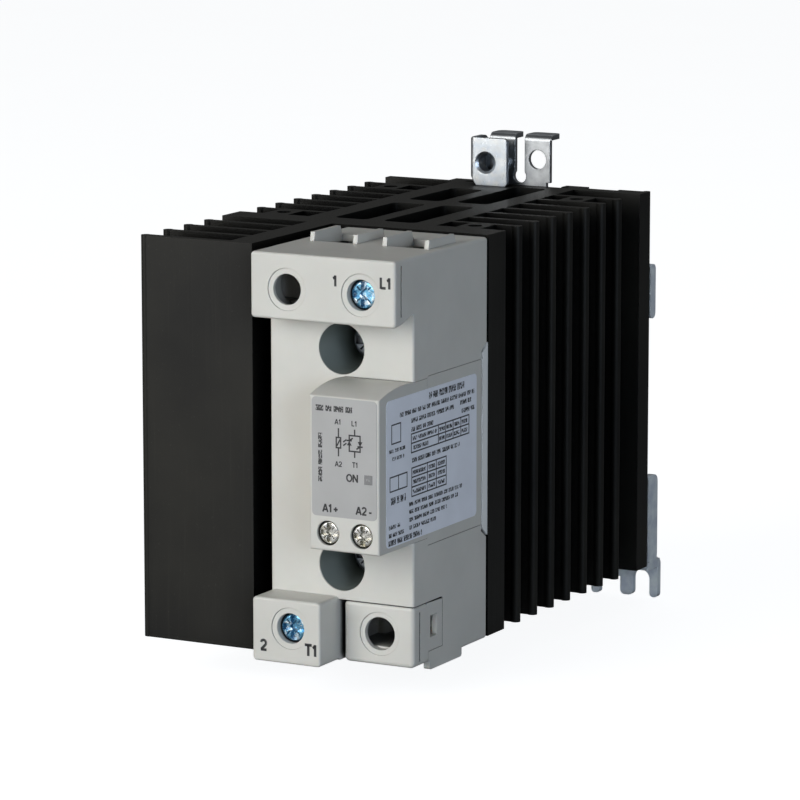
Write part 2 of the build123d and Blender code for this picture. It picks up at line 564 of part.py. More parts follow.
def control_cover():
    """Separate block over the control terminals and the indicator."""
    body = plate_yz(control_profile(0), CONTROL_LEFT, COVER_RIGHT)
    edges = body.edges().filter_by_position(Axis.Y, CONTROL_FRONT - 0.01, CONTROL_FRONT + 0.01)
    body = fillet(edges, 0.5)
    inner_x = (CONTROL_LEFT + CONTROL_WALL, COVER_RIGHT - CONTROL_WALL)
    body -= plate_yz(control_profile(CONTROL_WALL), *inner_x)
    body -= block((CONTROL_LEFT - 1, inner_x[1]), (CONTROL_REAR, CONTROL_SKIRT + 1),
                  (CONTROL_BOTTOM - 1, CONTROL_TOP + 1))
    body -= block(inner_x, (COVER_FRONT, CONTROL_SKIRT + 1),
                  (CONTROL_BOTTOM + CONTROL_WALL, CONTROL_TOP - CONTROL_WALL))
    for x in CONTROL_X:
        body += rod(x, CONTROL_Z, 3.5, CONTROL_FRONT + 0.5, CONTROL_SEAT + 1.0) & block(
            inner_x, (CONTROL_FRONT, CONTROL_SEAT + 1), (CONTROL_BOTTOM, CONTROL_TOP))
        body -= rod(x, CONTROL_Z, CONTROL_HOLE, CONTROL_FRONT - 1, CONTROL_SEAT)
        body -= rod(x, CONTROL_Z, CONTROL_PITCH_RADIUS + 0.2, CONTROL_FRONT, CONTROL_SEAT + 2)
        body -= block((x - 1.9, x + 1.9), (-46.4, -42.2), (CONTROL_BOTTOM - 1, CONTROL_BOTTOM + 2))
    window_x = (LED_X - LED_WIDTH / 2 - GAP, LED_X + LED_WIDTH / 2 + GAP)
    window_z = (LED_Z - LED_HEIGHT / 2 - GAP, LED_Z + LED_HEIGHT / 2 + GAP)
    return body - block(window_x, (CONTROL_FRONT - 1, CONTROL_FRONT + 3), window_z)


def front_label():
    """Printed label on the control block, with a window for the indicator."""
    sketch = rounded((CONTROL_LEFT + 0.75, COVER_RIGHT - 0.55), (-10.3, 16.3), 1.0)
    sketch -= Pos(LED_X, LED_Z) * Rectangle(LED_WIDTH + 0.1, LED_HEIGHT + 0.1)
    return plate_xz(sketch, CONTROL_FRONT - LABEL, CONTROL_FRONT)


def side_label():
    """Rating label on the right side."""
    return plate_yz(rounded((-49.3, -6.1), (-17.1, 15.8), 1.2), COVER_RIGHT, COVER_RIGHT + LABEL)


def light_pipe():
    """Clear bar that carries the indicator's light to the label window."""
    x = (LED_X - LED_WIDTH / 2, LED_X + LED_WIDTH / 2)
    z = (LED_Z - LED_HEIGHT / 2, LED_Z + LED_HEIGHT / 2)
    bar = block(x, (CONTROL_FRONT - LABEL / 2, BOARD_Y - 1.4), z)
    return bar + block((x[0] - 0.5, x[1] + 0.2), (CONTROL_FRONT + 2, CONTROL_FRONT + 3.5), z)


# ---- inside the housing -------------------------------------------------------------------
def base_frame():
    """Light plastic frame at the rear of the housing; its edge fills the cover's side notch."""
    x, z = (COVER_LEFT + WALL + 0.1, COVER_RIGHT - WALL - 0.1), (COVER_BOTTOM + WALL + 0.1, 44.4)
    body = block(x, (-2.8, -0.7), z)
    body += plate_yz(notch_outline(NOTCH_Y + 0.9, -0.6, 0.5), COVER_RIGHT - WALL - 0.2, COVER_RIGHT - 0.1)
    body -= block((SUBSTRATE_X[0] - 0.2, SUBSTRATE_X[1] + 0.2), (-4, 0),
                  (SUBSTRATE_Z[0] - 0.2, SUBSTRATE_Z[1] + 0.2))
    for well_z in WELL_Z:
        body -= rod(WELL_X, well_z, 2.8, -4, 0)
    return body


def power_module():
    """Dark moulded body with the two deep screw towers, hollow over the chips."""
    body = block((2.0, 31.6), (-9.0, -2.9), (-32.0, 31.2))
    for z in WELL_Z:
        body += rod(WELL_X, z, WELL_TUBE, COVER_FRONT + WELL_LIP + GAP, -3.0)
    body -= block((CONTROL_LEFT - GAP, COVER_RIGHT), (COVER_FRONT, CONTROL_REAR + GAP),
                  (CONTROL_BOTTOM - GAP, CONTROL_TOP + GAP))
    body -= block(SUBSTRATE_X, (-7.2, -2), SUBSTRATE_Z)
    for z in WELL_Z:
        body -= rod(WELL_X, z, WELL, COVER_FRONT, TOWER_FLOOR)
        body -= rod(WELL_X, z, 2.8, TOWER_FLOOR - 1, 0)
    body -= block((LINE_X - 3.6, LINE_X + 3.6), (-10, -2), (5.0, 32.0))
    body -= block((LOAD_X - 3.6, LOAD_X + 3.6), (-10, -2), (-33.0, -6.0))
    for x in PIN_X:
        body -= rod(x, 0.0, 0.7, -10, -2)
    return body


def thermal_pad():
    """Thin heat-conducting foil under the substrate."""
    return block(SUBSTRATE_X, (-PAD, 0), SUBSTRATE_Z)


def ceramic_substrate():
    """Copper-clad ceramic plate that insulates the chips from the heatsink."""
    return block(SUBSTRATE_X, (-PAD - CERAMIC, -PAD), SUBSTRATE_Z)


def thyristor_chips():
    """Two thyristors in inverse parallel."""
    group = [block((x - 4.5, x + 4.5), (CHIP_FRONT, CHIP_FRONT + CHIP), (z - 4.5, z + 4.5)) for x, z in CHIPS]
    return Compound(group)


def busbar(x, z, chip, reach):
    """Copper conductor from a chip, out of the module and forward to a terminal cage."""
    side = math.copysign(1, z)
    chip_x, chip_z = chip
    foot_x = sorted((chip_x - math.copysign(3.0, x - chip_x), x + math.copysign(BUS_HALF, x - chip_x)))
    body = block(foot_x, (CHIP_FRONT - COPPER, CHIP_FRONT), (chip_z - 3, chip_z + 3))
    strip_x = (x - BUS_HALF, x + BUS_HALF)
    body += block(strip_x, (CHIP_FRONT - COPPER, CHIP_FRONT), sorted((chip_z, side * 12.0)))
    body += block(strip_x, (BUS_REAR, CHIP_FRONT), sorted((side * 12.0, side * (12.0 + COPPER))))
    body += block(strip_x, (BUS_REAR, BUS_REAR + COPPER), sorted((side * 12.0, side * reach)))
    body += block(strip_x, (BUS_FRONT, BUS_REAR + COPPER), sorted((side * (reach - COPPER), side * reach)))
    return body + block(strip_x, (BUS_FRONT, BUS_FRONT + 1.5), sorted((side * (reach - COPPER), side * 43.6)))


def line_busbar():
    """Conductor between the upper power terminal and the first chip."""
    return busbar(LINE_X, LINE_Z, CHIPS[0], 33.4)


def load_busbar():
    """Conductor between the lower power terminal and the second chip."""
    return busbar(LOAD_X, LOAD_Z, CHIPS[1], 33.9)


def circuit_board():
    """Control circuit board between the two screw wells."""
    body = block(BOARD_X, (BOARD_Y, BOARD_Y + BOARD), BOARD_Z)
    for x in PIN_X:
        body -= rod(x, 0.0, 0.4, BOARD_Y - 1, BOARD_Y + BOARD + 1)
    for x in CONTROL_X:
        body -= block((x - 0.55, x + 0.55), (BOARD_Y - 1, BOARD_Y + BOARD + 1), (-13.0, -11.9))
    return body


def chip_package(x, z, width, height, depth):
    """Moulded component standing on the rear of the board."""
    return block((x - width / 2, x + width / 2), (BOARD_Y + BOARD, BOARD_Y + BOARD + depth),
                 (z - height / 2, z + height / 2))


def optocoupler():
    """Zero-crossing optocoupler that isolates the control side."""
    return chip_package(16.8, -8.5, 6.4, 7.2, 3.4)


def driver_components():
    """Regulator, gate resistors and suppression capacitor on the board."""
    group = [chip_package(7.0, -9.5, 4.0, 5.0, 1.6)]
    group += [chip_package(x, 8.5, 1.6, 3.2, 0.7) for x in (6.0, 9.5, 13.0)]
    group.append(chip_package(17.5, 8.5, 3.2, 2.5, 1.9))
    return Compound(group)


def varistor():
    """Disc varistor across the output, for overvoltage protection."""
    disc = rod(26.2, 8.2, 5.0, BOARD_Y + BOARD + 0.6, BOARD_Y + BOARD + 4.6)
    disc = fillet(disc.edges(), 1.2)
    for x in (23.7, 28.7):
        disc += rod(x, 8.2, 0.4, BOARD_Y + BOARD, BOARD_Y + BOARD + 2)
    return disc


def status_led():
    """Indicator on the front of the board."""
    return block((LED_X - 0.9, LED_X + 0.9), (BOARD_Y - 1.3, BOARD_Y), (LED_Z - 0.8, LED_Z + 0.8))


def gate_pins():
    """Pins between the board and the ceramic substrate."""
    group = [rod(x, 0.0, 0.35, BOARD_Y - 0.8, -PAD - CERAMIC) for x in PIN_X]
    return Compound(group)


# ---- terminals ----------------------------------------------------------------------------
def power_cage(x, z):
    """Box clamp: threaded front wall, two sides and the rear wall that lifts the wire."""
    zs = (z - CAGE_HEIGHT / 2, z + CAGE_HEIGHT / 2)
    body = block((x - CAGE_HALF, x + CAGE_HALF), (CAGE_FRONT, CAGE_REAR), zs)
    body -= block((x - CAGE_HALF + CAGE_WALL, x + CAGE_HALF - CAGE_WALL),
                  (CAGE_FRONT + CAGE_TOP_WALL, CAGE_REAR - CAGE_WALL), (zs[0] - 1, zs[1] + 1))
    return body - rod(x, z, POWER_PITCH_RADIUS + RUN, CAGE_FRONT - 1, CAGE_FRONT + CAGE_TOP_WALL + 1)


def line_cage():
    """Box clamp of the upper power terminal."""
    return power_cage(LINE_X, LINE_Z)


def load_cage():
    """Box clamp of the lower power terminal."""
    return power_cage(LOAD_X, LOAD_Z)


def power_screw(x, z):
    """M4 terminal screw, held by the housing under its head."""
    return screw(x, z, HEAD_FRONT, POWER_HEAD, SEAT_FRONT - HEAD_FRONT - GAP, POWER_PITCH_RADIUS, BUS_FRONT - 0.1)


def line_screw():
    """Screw of the upper power terminal."""
    return power_screw(LINE_X, LINE_Z)


def load_screw():
    """Screw of the lower power terminal."""
    return power_screw(LOAD_X, LOAD_Z)


def control_cage(x):
    """Small box clamp of one control terminal."""
    front, rear, half = SMALL_CAGE_FRONT, SMALL_CAGE_REAR, SMALL_CAGE_HALF
    zs = (CONTROL_Z - SMALL_CAGE_HEIGHT / 2, CONTROL_Z + SMALL_CAGE_HEIGHT / 2)
    body = block((x - half, x + half), (front, rear), zs)
    body -= block((x - half + 0.7, x + half - 0.7), (front + 1.3, rear - 0.8), (zs[0] - 1, zs[1] + 1))
    return body - rod(x, CONTROL_Z, CONTROL_PITCH_RADIUS + RUN, front - 1, front + 2)


def control_cage_positive():
    """Box clamp of the left control terminal."""
    return control_cage(CONTROL_X[0])


def control_cage_negative():
    """Box clamp of the right control terminal."""
    return control_cage(CONTROL_X[1])


def control_screw(x):
    """M3 control screw, held by the control block under its head."""
    head_y = CONTROL_FRONT + 0.5
    return screw(x, CONTROL_Z, head_y, CONTROL_HEAD, CONTROL_SEAT - head_y - GAP, CONTROL_PITCH_RADIUS, -45.2)


def control_screw_positive():
    """Screw of the left control terminal."""
    return control_screw(CONTROL_X[0])


def control_screw_negative():
    """Screw of the right control terminal."""
    return control_screw(CONTROL_X[1])


def control_contacts():
    """Two bent contacts from the control clamps back to the board."""
    group = []
    for x in CONTROL_X:
        body = block((x - 1.5, x + 1.5), (-45.1, -44.3), (-16.0, -10.6))
        body += block((x - 1.5, x + 1.5), (-45.1, -35.0), (-11.3, -10.6))
        body += block((x - 0.5, x + 0.5), (-36.0, -34.4), (-12.9, -10.6))
        body += block((x - 0.5, x + 0.5), (-36.0, BOARD_Y + BOARD + 0.6), (-12.9, -12.0))
        group.append(body)
    return Compound(group)


def module_screws():
    """Two screws at the bottom of the deep wells that hold the module to the heatsink."""
    head_y = TOWER_FLOOR - WASHER - 3.0
    group = [screw(WELL_X, z, head_y, 4.2, 3.0, 2.05, BASE_PLATE - 1) for z in WELL_Z]
    return Compound(group)


def module_washers():
    """Spring washers under the two module screws."""
    group = []
    for z in WELL_Z:
        ring = rod(WELL_X, z, 4.6, TOWER_FLOOR - WASHER, TOWER_FLOOR)
        group.append(ring - rod(WELL_X, z, 2.3, TOWER_FLOOR - 2, TOWER_FLOOR + 1))
    return Compound(group)


PARTS = (
    heatsink, centre_strip, strip_screws, earth_terminal, earth_rivet, rail_hook, lower_bracket,
    rail_slider, guide_rivets, slider_springs, bracket_screws,
    housing_cover, terminal_cap, control_cover, front_label, side_label, light_pipe,
    base_frame, power_module, thermal_pad, ceramic_substrate, thyristor_chips, line_busbar, load_busbar,
    circuit_board, optocoupler, driver_components, varistor, status_led, gate_pins,
    line_cage, load_cage, line_screw, load_screw, control_cage_positive, control_cage_negative,
    control_screw_positive, control_screw_negative, control_contacts, module_screws, module_washers,
)


def main():
    """Write one STEP file for each part."""
    os.makedirs("parts", exist_ok=True)
    for make in PARTS:
        export_step(Pos(*SHIFT) * make(), f"parts/{make.__name__}.step")


main()
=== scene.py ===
import json
import math
import random

import bmesh
import bpy
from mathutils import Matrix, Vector


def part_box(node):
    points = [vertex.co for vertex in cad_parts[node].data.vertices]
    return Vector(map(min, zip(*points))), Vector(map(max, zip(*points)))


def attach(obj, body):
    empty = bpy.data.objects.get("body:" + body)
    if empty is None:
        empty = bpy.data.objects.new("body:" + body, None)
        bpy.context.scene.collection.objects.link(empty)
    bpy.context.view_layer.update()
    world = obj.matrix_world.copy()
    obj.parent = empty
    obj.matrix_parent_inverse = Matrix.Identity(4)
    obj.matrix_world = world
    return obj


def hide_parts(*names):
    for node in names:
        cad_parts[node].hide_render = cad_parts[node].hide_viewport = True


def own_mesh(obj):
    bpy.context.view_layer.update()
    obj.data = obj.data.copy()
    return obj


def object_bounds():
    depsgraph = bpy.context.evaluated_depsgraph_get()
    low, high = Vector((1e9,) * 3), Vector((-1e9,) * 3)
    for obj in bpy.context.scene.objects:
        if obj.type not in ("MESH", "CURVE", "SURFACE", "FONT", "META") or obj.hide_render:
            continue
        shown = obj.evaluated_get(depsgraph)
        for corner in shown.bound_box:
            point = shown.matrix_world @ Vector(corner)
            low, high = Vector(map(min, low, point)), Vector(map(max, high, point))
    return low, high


# Looks, lights and camera for the solid state relay. Metres, in the frame's own axes:
# +X to the right seen from the front, +Y away from the viewer, +Z up.

MM = 0.001
PRINT = 0.02 * MM               # how far printing stands off its label
AZIMUTH = math.radians(28.11)   # camera direction
ELEVATION = math.radians(10.02)
DISTANCE = 1.0821
LENS = 206.4
AIM = Vector((0.65, 0.46, 0.65)) * MM    # aim point, from the middle of the box

PLASTIC = (0.62, 0.61, 0.565)            # linear colours
SIDE_FILM = (0.85, 0.88, 0.95)
FRONT_FILM = (0.400, 0.398, 0.392)
INK = (0.018, 0.018, 0.02)

MARK_WEIGHT = 0.21              # stroke width as a share of the character's height
SMALL_MARK_WEIGHT = 0.19
BLOCK_MARK_WEIGHT = 0.24

KEY_POWER = 10.8                # watts
FILL_POWER = 0.255
BACK_POWER = 0.8
AMBIENT = 0.12                  # the surround as the object sees it
BACKDROP = 1.08                 # the surround as the camera sees it
FLOOR_GLOW = 0.92               # the floor's own light, for the camera only

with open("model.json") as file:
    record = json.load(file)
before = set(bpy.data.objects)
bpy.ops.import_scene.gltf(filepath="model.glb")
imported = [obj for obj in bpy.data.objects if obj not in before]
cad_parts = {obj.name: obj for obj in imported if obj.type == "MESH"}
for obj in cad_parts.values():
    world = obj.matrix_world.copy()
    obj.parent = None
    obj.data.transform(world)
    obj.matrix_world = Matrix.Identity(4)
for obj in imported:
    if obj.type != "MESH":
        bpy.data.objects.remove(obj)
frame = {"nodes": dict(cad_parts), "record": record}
nodes = frame["nodes"]
cad_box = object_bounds()
BODY = next(name for name, members in frame["record"]["behaviour"]["bodies"].items()
            if "heatsink" in members)


# ---- node materials -------------------------------------------------------------------------
class Look:
    """One node material around a Principled surface, textured in object coordinates."""

    def __init__(self, name):
        self.material = bpy.data.materials.new(name)
        self.material.use_nodes = True
        self.tree = self.material.node_tree
        self.surface = self.tree.nodes["Principled BSDF"]
        self.coords = self.tree.nodes.new("ShaderNodeTexCoord").outputs["Object"]

    def link(self, output, node, socket):
        self.tree.links.new(output, node.inputs[socket])

    def plug(self, output, socket):
        """Wire an output, or set a plain value, on the surface."""
        if hasattr(output, "node"):
            self.link(output, self.surface, socket)
        else:
            self.surface.inputs[socket].default_value = output

    def noise(self, size, stretch=(1, 1, 1), detail=3.0):
        """Noise whose features measure about size, drawn out along an axis by stretch."""
        mapping = self.tree.nodes.new("ShaderNodeMapping")
        mapping.inputs["Scale"].default_value = [1 / (size * part) for part in stretch]
        self.link(self.coords, mapping, "Vector")
        texture = self.tree.nodes.new("ShaderNodeTexNoise")
        texture.inputs["Scale"].default_value = 1.0
        texture.inputs["Detail"].default_value = detail
        self.link(mapping.outputs[0], texture, "Vector")
        return texture.outputs["Fac"]

    def spread(self, value, low, high, to_low=0.0, to_high=1.0):
        """Map low..high onto to_low..to_high, clamped."""
        node = self.tree.nodes.new("ShaderNodeMapRange")
        node.inputs["From Min"].default_value = low
        node.inputs["From Max"].default_value = high
        node.inputs["To Min"].default_value = to_low
        node.inputs["To Max"].default_value = to_high
        self.link(value, node, "Value")
        return node.outputs["Result"]

    def math(self, kind, first, second):
        node = self.tree.nodes.new("ShaderNodeMath")
        node.operation = kind
        for index, value in enumerate((first, second)):
            if hasattr(value, "node"):
                self.link(value, node, index)
            else:
                node.inputs[index].default_value = value
        return node.outputs[0]

    def mix(self, factor, first, second):
        """Colour mix; either side may be a colour or another mix."""
        node = self.tree.nodes.new("ShaderNodeMix")
        node.data_type = "RGBA"
        self.link(factor, node, "Factor")
        for socket, value in (("A", first), ("B", second)):
            target = [s for s in node.inputs if s.name == socket and s.type == "RGBA"][0]
            if hasattr(value, "node"):
                self.tree.links.new(value, target)
            else:
                target.default_value = (*value, 1.0)
        return [s for s in node.outputs if s.type == "RGBA"][0]

    def occlusion_shade(self, distance, samples=6):
        """Ambient occlusion for painted shade: 1 in the open, falling towards 0 down holes and in
        corners.
        """
        node = self.tree.nodes.new("ShaderNodeAmbientOcclusion")
        node.samples = samples
        node.inputs["Distance"].default_value = distance
        return node.outputs["AO"]

    def rounded_normal(self, radius):
        node = self.tree.nodes.new("ShaderNodeBevel")
        node.samples = 4
        node.inputs["Radius"].default_value = radius
        return node.outputs["Normal"]

    def edge_mask(self, rounded):
        """1 on sharp edges, 0 on flats."""
        geometry = self.tree.nodes.new("ShaderNodeNewGeometry")
        dot = self.tree.nodes.new("ShaderNodeVectorMath")
        dot.operation = "DOT_PRODUCT"
        self.link(rounded, dot, 0)
        self.link(geometry.outputs["Normal"], dot, 1)
        return self.spread(dot.outputs["Value"], 0.995, 0.86)

    def facing(self, axis):
        """1 where the face looks along +axis or -axis."""
        geometry = self.tree.nodes.new("ShaderNodeNewGeometry")
        split = self.tree.nodes.new("ShaderNodeSeparateXYZ")
        self.link(geometry.outputs["True Normal"], split, 0)
        return self.spread(self.math("ABSOLUTE", split.outputs[axis], 0.0), 0.9, 0.99)

    def bump(self, height, distance, normal=None):
        node = self.tree.nodes.new("ShaderNodeBump")
        node.inputs["Distance"].default_value = distance
        self.link(height, node, "Height")
        if normal is not None:
            self.link(normal, node, "Normal")
        return node.outputs["Normal"]


def scaled(colour, factor):
    """The colour lighter or darker by a factor."""
    return [min(1.0, part * factor) for part in colour]


def moulded(name, colour, rough=0.5, grain=0.18 * MM, depth=0.010 * MM, soft=0.25 * MM,
            cloud=0.05, glow=0.0, shade_reach=None):
    """Injection-moulded plastic: eroded grain, faint flow clouds, slightly polished edges.

    The shade reach is how far across a hole or seam may be and still get painted shade, darkened
    nearly to black."""
    look = Look(name)
    clouds = look.spread(look.noise(14 * MM, detail=4), 0.3, 0.7)
    base = look.mix(clouds, scaled(colour, 1 - cloud), scaled(colour, 1 + cloud * 0.6))
    specks = look.spread(look.noise(0.25 * MM, detail=1), 0.66, 0.78, 0.0, 0.25)
    base = look.mix(specks, base, scaled(colour, 0.86))
    rounded = look.rounded_normal(soft)
    edges = look.edge_mask(rounded)
    base = look.mix(look.math("MULTIPLY", edges, 0.35), base, scaled(colour, 1.10))
    # Painted shade: ambient occlusion darkens the colour nearly to black down holes and in seams.
    if shade_reach:
        room_unshaded = look.spread(look.occlusion_shade(shade_reach, 16), 0.16, 0.38)
        seam_unshaded = look.spread(look.occlusion_shade(0.8 * MM, 12), 0.34, 0.60)
        unshaded = look.math("MINIMUM", room_unshaded, seam_unshaded)
        base = look.mix(unshaded, scaled(colour, 0.04), base)
    look.plug(base, "Base Color")
    smudge = look.spread(look.noise(6 * MM), 0.35, 0.65, rough - 0.05, rough + 0.06)
    look.plug(look.math("SUBTRACT", smudge, look.math("MULTIPLY", edges, 0.12)), "Roughness")
    look.plug(look.bump(look.noise(grain, detail=2), depth, rounded), "Normal")
    if glow:
        look.plug(glow, "Subsurface Weight")
        look.plug(0.4 * MM, "Subsurface Scale")
    return look.material


def sheet_metal(name, colour, rough=0.32, streak=(1, 1, 14), cloud=0.18, soft=0.2 * MM,
                depth=0.006 * MM, stain_glint_colour=None, metallic=1.0, hole_shade=None, hole_shade_reach=3 * MM, stain_glint_edge=0.04):
    """Plated sheet or turned steel: rolling streaks, cloudy plating, brighter worn edges.

    The patch colour stains the plating, and on the blue zinc it is painted glints; the hole colour
    is painted shade in holes up to about the shade reach across."""
    look = Look(name)
    clouds = look.spread(look.noise(3.5 * MM, detail=5), 0.32, 0.7)
    base = look.mix(clouds, scaled(colour, 1 - cloud), scaled(colour, 1 + cloud))
    # Patches towards the second colour: stains, and on the blue zinc painted glints.
    if stain_glint_colour:
        stain_glint_noise = look.noise(1.6 * MM, detail=3)
        stain_glint = look.spread(stain_glint_noise, 0.54 - stain_glint_edge, 0.54 + stain_glint_edge, 0.0, 0.8)
        base = look.mix(stain_glint, base, stain_glint_colour)
    rounded = look.rounded_normal(soft)
    edges = look.edge_mask(rounded)
    base = look.mix(look.math("MULTIPLY", edges, 0.4), base, scaled(colour, 1.2))
    # Painted shade: ambient occlusion turns holes and recesses to the hole colour, by default
    # nearly black.
    unshaded = look.spread(look.occlusion_shade(hole_shade_reach), 0.1, 0.7)
    base = look.mix(unshaded, hole_shade or scaled(colour, 0.12), base)
    look.plug(base, "Base Color")
    look.plug(metallic, "Metallic")
    streaks = look.noise(0.22 * MM, stretch=streak, detail=3)
    look.plug(look.spread(streaks, 0.3, 0.7, rough - 0.08, rough + 0.12), "Roughness")
    look.plug(look.bump(streaks, depth, rounded), "Normal")
    return look.material


def anodised():
    """Black anodised extrusion: die lines up the fins, paler sawn ends, rubbed edges and painted
    shade deep between the fins.
    """
    look = Look("anodised_black")
    dark = (0.0105, 0.0105, 0.0096)
    brown = (0.0180, 0.0175, 0.0146)
    sawn = (0.026, 0.0245, 0.019)
    die_lines = look.noise(0.5 * MM, stretch=(1, 1, 60), detail=4)
    base = look.mix(look.spread(look.noise(30 * MM, detail=3), 0.35, 0.65), dark, brown)
    base = look.mix(look.spread(die_lines, 0.58, 0.75, 0.0, 0.35), base, scaled(brown, 1.5))
    saw_marks = look.noise(0.35 * MM, stretch=(40, 1, 1), detail=3)
    sawn_colour = look.mix(look.spread(saw_marks, 0.3, 0.7), scaled(sawn, 0.6), sawn)
    dust = look.spread(look.noise(0.45 * MM, detail=1), 0.72, 0.80, 0.0, 0.5)
    base = look.mix(dust, base, (0.045, 0.045, 0.040))
    cut = look.facing("Z")
    base = look.mix(cut, base, sawn_colour)
    rounded = look.rounded_normal(0.25 * MM)
    edges = look.edge_mask(rounded)
    patches = look.spread(look.noise(5 * MM, detail=4), 0.4, 0.65, 0.08, 0.5)
    rub = look.math("MULTIPLY", edges, patches)
    base = look.mix(rub, base, (0.036, 0.0355, 0.033))
    # Painted shade: ambient occlusion darkens the colour nearly to black and dims the specular deep
    # between the fins.
    shade = look.spread(look.occlusion_shade(14 * MM), 0.42, 0.9)
    look.plug(look.mix(shade, (0.002, 0.002, 0.002), base), "Base Color")
    satin = look.spread(die_lines, 0.3, 0.7, 0.36, 0.47)
    look.plug(look.math("ADD", satin, look.math("MULTIPLY", cut, 0.12)), "Roughness")
    lines = look.bump(die_lines, 0.012 * MM, rounded)
    look.plug(look.bump(look.noise(0.12 * MM, detail=1), 0.004 * MM, lines), "Normal")
    look.plug(look.math("MULTIPLY", shade, 0.17), "Specular IOR Level")
    return look.material


def film(name, colour, rough=0.42):
    """Printed polyester label: faint weave of the print, soft waviness."""
    look = Look(name)
    base = look.mix(look.spread(look.noise(9 * MM, detail=3), 0.35, 0.65), scaled(colour, 0.96),
                    scaled(colour, 1.03))
    fibre = look.spread(look.noise(0.16 * MM, detail=2), 0.6, 0.8, 0.0, 0.2)
    look.plug(look.mix(fibre, base, scaled(colour, 0.88)), "Base Color")
    look.plug(look.spread(look.noise(4 * MM), 0.3, 0.7, rough - 0.06, rough + 0.06), "Roughness")
    wave = look.bump(look.noise(3 * MM), 0.03 * MM)
    look.plug(look.bump(look.noise(0.10 * MM, detail=1), 0.002 * MM, wave), "Normal")
    return look.material


def ink(name, colour, paper=None, stroke=0.26 * MM):
    """Printing ink; with paper, it breaks up into unreadable fine print."""
    look = Look(name)
    patches = look.spread(look.noise(0.3 * MM, detail=2), 0.3, 0.7)
    base = look.mix(patches, colour, scaled(colour, 1.5))
    if paper:
        marks = look.noise(stroke, stretch=(1, 1, 2.2), detail=1)
        base = look.mix(look.spread(marks, 0.53, 0.60), base, paper)
    look.plug(base, "Base Color")
    look.plug(look.spread(look.noise(0.5 * MM), 0.3, 0.7, 0.4, 0.55), "Roughness")
    look.plug(look.bump(look.noise(0.12 * MM, detail=1), 0.002 * MM), "Normal")
    return look.material


def clear_bar():
    """Smoky clear plastic of the light pipe."""
    look = Look("smoky_clear")
    clouds = look.spread(look.noise(1.5 * MM), 0.3, 0.7)
    base = look.mix(clouds, (0.24, 0.24, 0.24), (0.28, 0.28, 0.28))
    look.plug(base, "Base Color")
    look.plug(look.spread(look.noise(0.4 * MM), 0.3, 0.7, 0.18, 0.30), "Roughness")
    look.plug(look.bump(look.noise(0.3 * MM), 0.004 * MM, look.rounded_normal(0.15 * MM)), "Normal")
    look.plug(0.12, "Transmission Weight")
    return look.material


